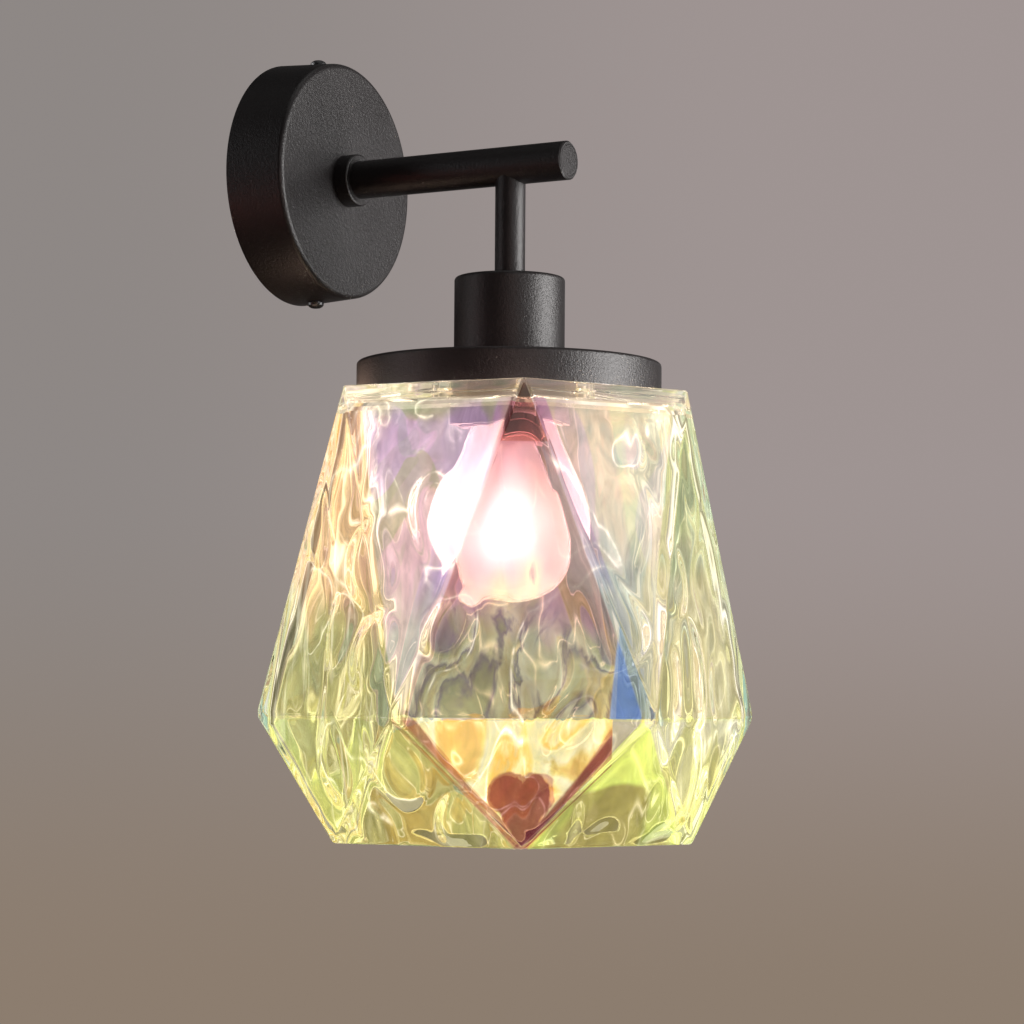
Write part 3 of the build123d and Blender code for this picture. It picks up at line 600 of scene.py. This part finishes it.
def build_shade():
    bm = bmesh.new()
    L_stand = bm.loops.layers.float.new("stand")
    L_rip = bm.loops.layers.float.new("ripple")
    a = [bm.verts.new(v) for v in hex_points(R_TOP, GL_TOP, TURN)]
    b = [bm.verts.new(v) for v in hex_points(R_MID, GL_MID, TURN + 30)]
    c = [bm.verts.new(v) for v in hex_points(R_BOT, GL_BOT, TURN)]
    bm.faces.new(a)
    bm.faces.new(c[::-1])
    for i in range(6):
        j = (i + 1) % 6
        bm.faces.new((a[i], b[i], a[j]))
        bm.faces.new((a[j], b[i], b[j]))
        bm.faces.new((b[j], b[i], c[j]))
        bm.faces.new((c[j], b[i], c[i]))
    bmesh.ops.recalc_face_normals(bm, faces=bm.faces)
    bmesh.ops.bevel(bm, geom=list(bm.edges) + list(bm.verts), offset=0.0011, offset_type="OFFSET", segments=3,
                    profile=0.6, affect="EDGES", clamp_overlap=True)
    # open the flat top and bottom
    top = [f for f in bm.faces if f.normal.z > 0.999 and f.calc_area() > 1e-3]
    bot = [f for f in bm.faces if f.normal.z < -0.999 and f.calc_area() > 1e-3]
    top_loop = [v for v in top[0].verts]
    bot_loop = [v for v in bot[0].verts]
    top_z, bot_z = top_loop[0].co.z, bot_loop[0].co.z
    bmesh.ops.delete(bm, geom=top + bot, context="FACES_ONLY")
    bm.verts.ensure_lookup_table()
    outside = list(bm.faces)

    # inner face, from the hole along the plate's underside, round the corner and down the wall
    cols = 480
    th = np.linspace(0, 2 * np.pi, cols, endpoint=False)
    up, low = planes(R_TOP - WALL, R_MID - WALL, R_BOT - WALL)
    z_plate = GL_TOP - PLATE
    fil = 0.006
    outer_up, outer_low = planes(R_TOP, R_MID, R_BOT)

    def standing(c):
        """Above zero on the outside's facets that stand point up, below zero on those that hang."""
        d = [float(np.dot(n, c)) - k for n, k in (outer_up if c[2] > GL_MID else outer_low)]
        odd = int(np.argmax(d)) % 2
        return 1.0 if odd == (1 if c[2] > GL_MID else 0) else -1.0

    for f in outside:
        v = standing(np.array(f.calc_center_median()))
        if f.calc_area() > 2e-4:
            n = np.array(f.normal)
            pl = outer_up if f.calc_center_median().z > GL_MID else outer_low
            odd = int(np.argmax([float(np.dot(n, m)) for m, _ in pl])) % 2
            hangs = odd == 0
            v = -1.0 if hangs else 1.0
        for lp in f.loops:
            lp[L_stand] = v
    r_at = wall_radius(th, np.full(cols, z_plate - fil), up, SOFT)
    rows = []
    for t in np.linspace(0, 1, 16):
        r = (HOLE_R + 0.0012) * (1 - t) + (r_at - fil) * t
        rows.append((r, np.full(cols, z_plate), 0.06))
    for t in np.linspace(0.2, 1.0, 5):
        g = t * math.pi / 2
        rows.append((r_at - fil + fil * math.sin(g), np.full(cols, z_plate - fil + fil * math.cos(g)), 0.10))
    zs = np.concatenate([np.linspace(z_plate - fil, GL_MID + 0.0015, 104)[1:],
                         [GL_MID + 0.0003, GL_MID - 0.0003, GL_MID - 0.0015],
                         np.linspace(GL_MID - 0.0025, bot_z + 0.0008, 44), [bot_z]])
    for z in zs:
        zc = np.full(cols, z)
        r = np.minimum(wall_radius(th, zc, up, SOFT), wall_radius(th, zc, low, 0.0006))
        amt = min(1.0, 0.12 + 0.88 * (z_plate - fil - z) / 0.014)
        d = z - bot_z
        if d < 0.006:
            amt = min(amt, 0.35 + 0.65 * d / 0.006)
        extra = 0.0012 * max(0.0, 1 - d / 0.0012) ** 2 if d < 0.0012 else 0.0
        rows.append((r + extra, zc, amt))
    P = np.stack([np.stack([r * np.cos(th), YS + r * np.sin(th), z], -1) for r, z, _ in rows])
    amt = np.array([x for _, _, x in rows])[:, None]
    du = np.roll(P, -1, 1) - np.roll(P, 1, 1)
    dv = np.gradient(P, axis=0)
    N = np.cross(du, dv)
    N /= np.maximum(np.linalg.norm(N, axis=-1, keepdims=True), 1e-12)
    centre = np.array((0, YS, (GL_TOP + GL_BOT) / 2))
    sign = np.sign((N * (P - centre)).sum(-1).mean())
    N *= sign
    H = ripples(P.reshape(-1, 3)).reshape(P.shape[:2])
    H = 0.0034 * np.tanh(H / 0.0034)
    # how far each point of the inner wall lies inside a standing facet, in millimetres
    G = np.zeros(P.shape[:2])
    for i in range(P.shape[0]):
        zc = P[i, :, 2]
        upper = zc[0] > GL_MID
        pl = up if upper else low
        hang = wall_radius(th, zc, pl[0::2], 1e-5)
        stand = wall_radius(th, zc, pl[1::2], 1e-5)
        G[i] = (hang - stand) * 1000.0
    turn = (np.degrees(th) - 214.1 + 180.0) % 360.0 - 180.0
    calm = np.exp(-((turn[None, :] / 30.0) ** 4 + ((P[..., 2] + 0.150) / 0.046) ** 4))
    calm = np.maximum(calm, 0.8 * np.exp(-((turn[None, :] / 12.0) ** 4 + ((P[..., 2] + 0.263) / 0.012) ** 4)))
    amt = amt * (1.0 - 0.80 * calm)
    # shallower all round the sides and the back than on the three facets at the front
    amt = amt * (1.0 - 0.34 * np.clip((np.abs(turn[None, :]) - 55.0) / 18.0, 0.0, 1.0))
    P = P + N * (H * amt)[..., None]
    P[-1, :, 2] = bot_z
    P[0, :, 2] = z_plate
    inner = [[bm.verts.new(q) for q in row] for row in P]
    RH = H * amt / 0.0012
    for i in range(len(inner) - 1):
        for k in range(cols):
            d = (k + 1) % cols
            f = bm.faces.new((inner[i][k], inner[i][d], inner[i + 1][d], inner[i + 1][k]))
            f.material_index = 1
            for lp, (r, q) in zip(f.loops, ((i, k), (i, d), (i + 1, d), (i + 1, k))):
                lp[L_rip] = float(RH[r, q])
                lp[L_stand] = float(G[r, q])

    # the hole, with rounded lips
    lips = []
    for r, z in ((HOLE_R + 0.0003, z_plate + 0.0003), (HOLE_R, z_plate + 0.0012), (HOLE_R, top_z - 0.0012),
                 (HOLE_R + 0.0004, top_z - 0.0003), (HOLE_R + 0.0013, top_z)):
        lips.append([bm.verts.new((r * math.cos(t), YS + r * math.sin(t), z)) for t in th])
    chain = [inner[0]] + lips
    for i in range(len(chain) - 1):
        for k in range(cols):
            d = (k + 1) % cols
            bm.faces.new((chain[i][d], chain[i][k], chain[i + 1][k], chain[i + 1][d]))

    def fill(loop_a, loop_b):
        edges = []
        for lp in (loop_a, loop_b):
            for i in range(len(lp)):
                v, w = lp[i], lp[(i + 1) % len(lp)]
                e = bm.edges.get((v, w)) or bm.edges.new((v, w))
                edges.append(e)
        bmesh.ops.triangle_fill(bm, edges=edges, use_beauty=True)

    fill(top_loop, lips[-1])
    fill(bot_loop, inner[-1])
    bmesh.ops.recalc_face_normals(bm, faces=bm.faces)
    me = bpy.data.meshes.new("shade_glass_body")
    bm.to_mesh(me)
    open_edges = sum(1 for e in bm.edges if len(e.link_faces) != 2)
    print("SHADE verts", len(bm.verts), "faces", len(bm.faces), "open edges", open_edges)
    bm.free()
    me.shade_smooth()
    me.set_sharp_from_angle(angle=rad(17))
    o = new_object("shade_glass_body", me, glass_outside(), "shade", ("glass_shade",))
    me.materials.append(glass_inside())
    o.visible_shadow = False
    return o


shade = build_shade()

# ------------------------------------------------------------------ the bulb
GLOBE_R, GLOBE_Z, NECK_Z = 0.0295, -0.1505, -0.1015


def catmull(pts, n):
    pts = [np.array(p, float) for p in pts]
    out = []
    for i in range(len(pts) - 1):
        p0 = pts[max(i - 1, 0)]
        p1, p2 = pts[i], pts[i + 1]
        p3 = pts[min(i + 2, len(pts) - 1)]
        for t in np.linspace(0, 1, n, endpoint=False):
            out.append(0.5 * ((2 * p1) + (-p0 + p2) * t + (2 * p0 - 5 * p1 + 4 * p2 - p3) * t * t
                              + (-p0 + 3 * p1 - 3 * p2 + p3) * t ** 3))
    out.append(pts[-1])
    return out


def globe_profile():
    grow = 0.0009
    a = catmull([(0.0123, -0.0975), (0.0123, NECK_Z), (0.0136, -0.108), (0.0164, -0.1165), (0.0219, -0.127),
                 (0.0275, -0.1393), (GLOBE_R, GLOBE_Z)], 8)[:-1]
    b = [(GLOBE_R * math.cos(t), GLOBE_Z - GLOBE_R * math.sin(t)) for t in np.linspace(0, math.pi / 2, 26)[:-1]]
    outer = [tuple(p) for p in a] + b + [(0.0, GLOBE_Z - GLOBE_R)]
    inner = []
    pts = np.array(outer)
    for i, (r, z) in enumerate(outer[:-1]):
        p = pts[max(i - 1, 0)]
        q = pts[min(i + 1, len(pts) - 1)]
        t = (q - p) / np.linalg.norm(q - p)
        n = np.array((t[1], -t[0]))
        inner.append((max(r + n[0] * grow, 0.0003), z + n[1] * grow))
    inner.append((0.0, GLOBE_Z - GLOBE_R + grow))
    return outer + inner[::-1]


def bulb_glass(name, rough, lit=0.0):
    m = Mat(name)
    co = m.coords()
    w = m.noise(120.0, 2.0, 0.5, vec=co)
    sep = m.node("ShaderNodeSeparateXYZ")
    m.link(co, sep.inputs[0])
    neck = m.map_range(sep.outputs["Z"], -0.130, -0.112, 0.0, 1.0, smooth=True)
    m.link(m.mix(w, (1.0, 0.95, 0.92), (1.0, 0.98, 0.96)), m.b.inputs["Base Color"])
    if lit:
        # the frosting catches the filament's light, less so up on the neck
        m.link(m.mix(neck, (1.0, 0.72, 0.56), (0.42, 0.27, 0.19)), m.b.inputs["Emission Color"])
        m.set(Emission_Strength=lit)
    m.set(Transmission_Weight=1.0, Roughness=rough, IOR=1.48)
    return m.m


PROF = globe_profile()
globe = lathe("bulb_glass_globe", PROF, 96, bulb_glass("bulb_glass", 0.02), "bulb", ("bulb_globe",))
frost = bulb_glass("bulb_frost", 0.33, 0.10)
globe.data.materials.append(frost)
for f in globe.data.polygons:
    c = f.center
    to_axis = Vector((c.x, c.y - YS, 0.0 if c.z > GLOBE_Z else c.z - GLOBE_Z))
    if f.normal.dot(to_axis) < 0:
        f.material_index = 1
globe.visible_shadow = False


def glow(name, colour, strength):
    m = Mat(name)
    co = m.coords()
    w = m.noise(300.0, 2.0, 0.5, vec=co)
    m.link(m.mix(w, colour, tuple(min(1.0, c * 1.05) for c in colour)), m.b.inputs["Emission Color"])
    m.set(Base_Color=(0.9, 0.85, 0.8, 1), Roughness=0.6, Emission_Strength=strength)
    return m.m


# ------------------------------------------------------------------ finishes on the CAD nodes
MATS = {
    "black_powder_coat": powder_coat("black_powder_coat"),
    "black_screw": metal("black_screw", (0.05, 0.05, 0.052), 0.32, tarnish=0.3, metallic=0.6),
    "zinc_steel": metal("zinc_steel", (0.62, 0.63, 0.66), 0.32, brushed=(1, 1, 6)),
    "brass": metal("brass", (0.80, 0.60, 0.28), 0.27),
    "black_phenolic": plastic("black_phenolic", (0.055, 0.034, 0.028), 0.34),
    "porcelain": plastic("porcelain", (0.85, 0.84, 0.80), 0.12, coat=0.6, mottle=0.03),
    "nylon": plastic("nylon", (0.82, 0.82, 0.78), 0.42, mottle=0.03),
    "wire_brown": plastic("wire_brown", (0.16, 0.06, 0.025), 0.38),
    "wire_blue": plastic("wire_blue", (0.02, 0.10, 0.42), 0.38),
    "silicone": rubber("silicone", (0.72, 0.72, 0.70)),
    "cap_metal": metal("cap_metal", (0.78, 0.77, 0.76), 0.22),
    "cap_insulator": plastic("cap_insulator", (0.015, 0.015, 0.02), 0.1),
    "solder": metal("solder", (0.66, 0.66, 0.66), 0.35),
}


def wire_green():
    """Green insulation with a yellow stripe."""
    m = Mat("wire_green")
    co = m.coords()
    sep = m.node("ShaderNodeSeparateXYZ")
    m.link(co, sep.inputs[0])
    w = m.math("SINE", m.math("MULTIPLY", m.math("ADD", sep.outputs["X"], sep.outputs["Y"]), 900.0))
    k = m.map_range(w, -0.1, 0.1, 0.0, 1.0)
    m.link(m.mix(k, (0.05, 0.30, 0.06), (0.75, 0.62, 0.06)), m.b.inputs["Base Color"])
    m.set(Roughness=0.4)
    return m.m


def clear_mount():
    m = Mat("mount_glass")
    co = m.coords()
    w = m.noise(200.0, 2.0, 0.5, vec=co)
    m.link(m.mix(w, (0.97, 0.97, 0.97), (1, 1, 1)), m.b.inputs["Base Color"])
    m.set(Transmission_Weight=1.0, Roughness=0.02, IOR=1.5)
    return m.m


MATS["wire_green"] = wire_green()
MATS["mount_glass"] = clear_mount()
MATS["lamp_wire"] = metal("lamp_wire", (0.45, 0.44, 0.42), 0.3)
FILAMENT = glow("filament_glow", (1.0, 0.88, 0.80), 4700.0)

SLOTS = {s["node"]: s["material_slot"] for s in frame["record"]["subparts"]}
for name, o in NODES.items():
    mat = MATS.get(SLOTS.get(name))
    if name == "bulb_filament":
        mat = FILAMENT
    if mat is None:
        continue
    if not o.material_slots:
        o.data.materials.append(mat)
    for s in o.material_slots:
        s.material = mat

# ------------------------------------------------------------------ stage, light and camera
def floor():
    me = bpy.data.meshes.new("floor")
    s, z, n = 6.1, -1.15, 96
    me.from_pydata([(s * math.cos(2 * math.pi * i / n), s * math.sin(2 * math.pi * i / n), z) for i in range(n)], [], [tuple(range(n))])
    o = bpy.data.objects.new("floor", me)
    SC.collection.objects.link(o)
    m = Mat("floor")
    w = m.noise(4.0, 3.0, 0.5)
    m.link(m.mix(w, (0.60, 0.585, 0.57), (0.64, 0.625, 0.61)), m.b.inputs["Base Color"])
    m.set(Roughness=0.7)
    me.materials.append(m.m)
    # the floor's own light stays on the floor
    o.visible_glossy = o.visible_diffuse = False
    only = bpy.data.collections.new("floor_only")
    only.objects.link(o)
    d = bpy.data.lights.new("floor_light", "SUN")
    d.energy = 1.75
    d.angle = rad(50)
    d.color = (1.0, 0.985, 0.97)
    lamp = bpy.data.objects.new("floor_light", d)
    SC.collection.objects.link(lamp)
    lamp.location = (0.0, 0.0, 2.0)
    lamp.light_linking.receiver_collection = only


floor()


def area(name, loc, target, size, power, colour=(1, 1, 1), size_y=None):
    d = bpy.data.lights.new(name, "AREA")
    d.shape = "RECTANGLE"
    d.size = size
    d.size_y = size_y or size
    d.energy = power
    d.color = colour
    o = bpy.data.objects.new(name, d)
    SC.collection.objects.link(o)
    o.location = loc
    o.rotation_mode = "QUATERNION"
    o.rotation_quaternion = (Vector(target) - Vector(loc)).to_track_quat("-Z", "Y")
    return o


def point(name, loc, power, colour, radius):
    d = bpy.data.lights.new(name, "POINT")
    d.energy = power
    d.color = colour
    d.shadow_soft_size = radius
    o = bpy.data.objects.new(name, d)
    SC.collection.objects.link(o)
    o.location = loc
    return o


AZ, PITCH, ROLL = rad(-60.22), rad(3.542), rad(0.417)
DIST, FPX, PX, PZ = 1.186566, 2905.841, 0.001618, -0.216424
back = Vector((math.sin(AZ), -math.cos(AZ), 0))
right = Vector((math.cos(AZ), math.sin(AZ), 0))
upv = Vector((0, 0, 1))
cam_loc = back * DIST + upv * PZ + Vector((0, YS, 0)) + right * PX
fwd = -back * math.cos(PITCH) + upv * math.sin(PITCH)
upc = upv * math.cos(PITCH) + back * math.sin(PITCH)
R = right * math.cos(ROLL) + upc * math.sin(ROLL)
U = -right * math.sin(ROLL) + upc * math.cos(ROLL)
cd = bpy.data.cameras.new("camera")
cd.lens = FPX / 1024 * 36.0
cd.sensor_width = 36.0
cd.clip_start = 0.05
cd.clip_end = 50
cam = bpy.data.objects.new("camera", cd)
SC.collection.objects.link(cam)
mw = Matrix((R, U, -fwd)).transposed().to_4x4()
mw.translation = cam_loc
cam.matrix_world = mw
SC.camera = cam

world = bpy.data.worlds.new("world")
SC.world = world
world.use_nodes = True
wt = world.node_tree
bg = wt.nodes["Background"]


def wnode(kind, **kw):
    n = wt.nodes.new(kind)
    for k, v in kw.items():
        setattr(n, k, v)
    return n


def wramp(fac, stops):
    n = wnode("ShaderNodeValToRGB")
    n.color_ramp.interpolation = "EASE"
    e = n.color_ramp.elements
    while len(e) < len(stops):
        e.new(0.5)
    for i, (p, c) in enumerate(stops):
        e[i].position = p
        e[i].color = (*c, 1.0)
    wt.links.new(fac, n.inputs["Fac"])
    return n.outputs["Color"]


def wmath(op, a, b=None):
    n = wnode("ShaderNodeMath", operation=op)
    for i, v in enumerate((a, b)):
        if v is None:
            continue
        if isinstance(v, (int, float)):
            n.inputs[i].default_value = v
        else:
            wt.links.new(v, n.inputs[i])
    return n.outputs[0]


def wmix(fac, a, b, kind="MIX"):
    n = wnode("ShaderNodeMix", data_type="RGBA", blend_type=kind)
    for s, v in ((0, fac), (6, a), (7, b)):
        if isinstance(v, (int, float)):
            n.inputs[s].default_value = v
        elif isinstance(v, tuple):
            n.inputs[s].default_value = (*v, 1.0)
        else:
            wt.links.new(v, n.inputs[s])
    return n.outputs[2]


# what the camera sees is a warm grey backdrop with painted light and shade, lighter to the right and darker and browner
# low down; what lights the object is a soft studio of pale and dark bands
wdir = wnode("ShaderNodeTexCoord").outputs["Generated"]
wsep = wnode("ShaderNodeSeparateXYZ")
wt.links.new(wdir, wsep.inputs[0])
azi = wmath("FRACT", wmath("ADD", wmath("DIVIDE", wmath("ARCTAN2", wsep.outputs["Y"], wsep.outputs["X"]), 2 * math.pi), 1.0))
D0, D1, D2 = (0.015, 0.014, 0.016), (0.10, 0.092, 0.090), (0.34, 0.33, 0.32)
metal_bands = wramp(azi, [(0.0, D1), (0.05, D2), (0.10, D1), (0.17, D0), (0.24, D1), (0.30, D2), (0.37, D1), (0.44, D0), (0.50, D1),
                          (0.56, D0), (0.64, D0), (0.70, D1), (0.77, D2), (0.83, D1), (0.90, D0), (0.95, D2), (1.0, D1)])
height = wmath("ADD", wmath("MULTIPLY", wsep.outputs["Z"], 0.5), 0.5)
metal_tall = wramp(height, [(0.0, (0.14, 0.13, 0.13)), (0.31, (0.18, 0.17, 0.16)), (0.34, (1.0, 0.96, 0.93)), (0.5, (0.8, 0.8, 0.8)), (0.75, (0.55, 0.55, 0.55)),
                            (1.0, (0.5, 0.5, 0.5))])
for_metal = wmix(1.0, metal_bands, metal_tall, "MULTIPLY")

G0, G1, G2, G3 = (0.05, 0.045, 0.05), (0.26, 0.24, 0.22), (0.60, 0.57, 0.54), (1.5, 1.42, 1.32)
glass_bands = wramp(azi, [(0.0, G1), (0.03, G2), (0.055, G1), (0.085, G0), (0.11, G1), (0.14, G3), (0.165, G1), (0.21, G0), (0.26, G1),
                          (0.30, G2), (0.34, G0), (0.42, G1), (0.47, G2), (0.50, G0), (0.56, G1), (0.61, G1), (0.66, G0), (0.71, G2),
                          (0.76, G3), (0.79, G2), (0.84, G0), (0.90, G1), (0.95, G3), (0.98, G1), (1.0, G1)])
glass_tall = wramp(height, [(0.0, (0.5, 0.45, 0.40)), (0.28, (0.9, 0.85, 0.80)), (0.38, (0.45, 0.42, 0.40)), (0.5, (0.9, 0.9, 0.9)),
                            (0.62, (1.1, 1.1, 1.1)), (0.70, (0.6, 0.6, 0.6)), (0.85, (1.2, 1.2, 1.2)), (1.0, (0.7, 0.7, 0.7))])
for_glass = wmix(1.0, glass_bands, glass_tall, "MULTIPLY")


def along(vec):
    n = wnode("ShaderNodeVectorMath", operation="DOT_PRODUCT")
    wt.links.new(wdir, n.inputs[0])
    n.inputs[1].default_value = tuple(vec)
    return n.outputs["Value"]


def span(v, a, b):
    n = wnode("ShaderNodeMapRange", interpolation_type="SMOOTHSTEP")
    wt.links.new(v, n.inputs["Value"])
    n.inputs["From Min"].default_value = a
    n.inputs["From Max"].default_value = b
    return n.outputs["Result"]


wall = wmix(span(along(right), -0.16, 0.10), (0.270, 0.245, 0.235), (0.345, 0.297, 0.290))
wall = wmix(span(along(upc), 0.02, -0.17), wall, (0.262, 0.205, 0.158))
# a large pale panel high on the right, with soft edges
soft = (right * math.sin(rad(78)) + back * math.cos(rad(78))) * math.cos(rad(22)) + upv * math.sin(rad(22))
panel = wmix(span(along(soft), 0.93, 0.985), for_metal, (1.15, 1.12, 1.10))
lp = wnode("ShaderNodeLightPath")
seen = wmix(lp.outputs["Is Transmission Ray"], panel, for_glass)
seen = wmix(lp.outputs["Is Camera Ray"], seen, wall)
wt.links.new(seen, bg.inputs["Color"])
bg.inputs["Strength"].default_value = 1.0

tgt = Vector((0, YS, -0.15))


def place(side, front, height):
    """A point given to the right of, towards and above the camera's view of the stem."""
    return tgt + right * side + back * front + upv * height


METAL_ONLY = bpy.data.collections.new("metal_only")
for o in NODES.values():
    METAL_ONLY.objects.link(o)
LIGHTS = [
    area("strip_right", place(0.94, 0.16, -0.16), tgt - upv * 0.10, 0.62, 27.5, (1.0, 0.975, 0.96), size_y=1.16),
    area("front_soft", place(0.55, 1.3, 0.5), tgt, 0.9, 1.6, (1.0, 0.98, 0.96)),
    area("strip_left", place(-1.2, 0.2, 0.3), tgt, 0.25, 1.2, (0.98, 0.98, 1.0), size_y=1.0),
    area("top", place(0.1, 0.1, 1.6), tgt, 1.0, 2.0, (1.0, 0.99, 0.97)),
]
for o in LIGHTS:
    o.visible_camera = False
    o.visible_transmission = False
LIGHTS[0].light_linking.receiver_collection = METAL_ONLY
# a soft light behind the plate, for the fittings inside it
inside_plate = bpy.data.collections.new("inside_plate")
for name, o in NODES.items():
    if name != "canopy" and sum((o.matrix_world @ Vector(c)).y for c in o.bound_box) / 8 > -0.03:
        inside_plate.objects.link(o)
rear = area("rear_soft", (-0.5, 1.2, 0.35), (0.0, 0.0, 0.0), 0.9, 16.0, (1.0, 0.99, 0.98))
rear.visible_camera = rear.visible_transmission = False
rear.light_linking.receiver_collection = inside_plate
lamp = point("bulb_light", (0, YS, -0.152), 0.9, (1.0, 0.86, 0.74), 0.014)
lamp.visible_camera = lamp.visible_transmission = lamp.visible_glossy = False
# the lit shade's own warm shine on the metal above it
for side, front, height, power, colour in ((-0.36, 0.12, 0.02, 0.20, (1.0, 0.30, 0.24)), (0.03, 0.40, 0.04, 0.50, (1.0, 0.62, 0.52)),
                                           (-0.098, -0.02, 0.045, 0.042, (1.0, 0.66, 0.50))):
    blush = point("shade_glow_light", place(side, front, height), power, colour, 0.06 if power > 0.1 else 0.025)
    blush.visible_camera = blush.visible_transmission = False
    blush.light_linking.receiver_collection = METAL_ONLY

# ------------------------------------------------------------------ picture settings
cy = SC.cycles
cy.max_bounces = 20
cy.transmission_bounces = 18
cy.glossy_bounces = 8
cy.diffuse_bounces = 4
cy.transparent_max_bounces = 12
cy.sample_clamp_indirect = 14.0
cy.use_denoising = True
SC.view_settings.view_transform = "Standard"
SC.view_settings.look = "None"

SC.use_nodes = True
ct = SC.node_tree
ct.nodes.clear()
rl = ct.nodes.new("CompositorNodeRLayers")
gl = ct.nodes.new("CompositorNodeGlare")
co = ct.nodes.new("CompositorNodeComposite")
gl.glare_type = "BLOOM"
for k, v in (("Threshold", 1.3), ("Smoothness", 0.3), ("Strength", 0.75), ("Size", 0.48), ("Saturation", 1.0), ("Maximum", 12.0)):
    if k in gl.inputs.keys():
        gl.inputs[k].default_value = v
ct.links.new(rl.outputs["Image"], gl.inputs["Image"])
ct.links.new(gl.outputs["Image"], co.inputs["Image"])
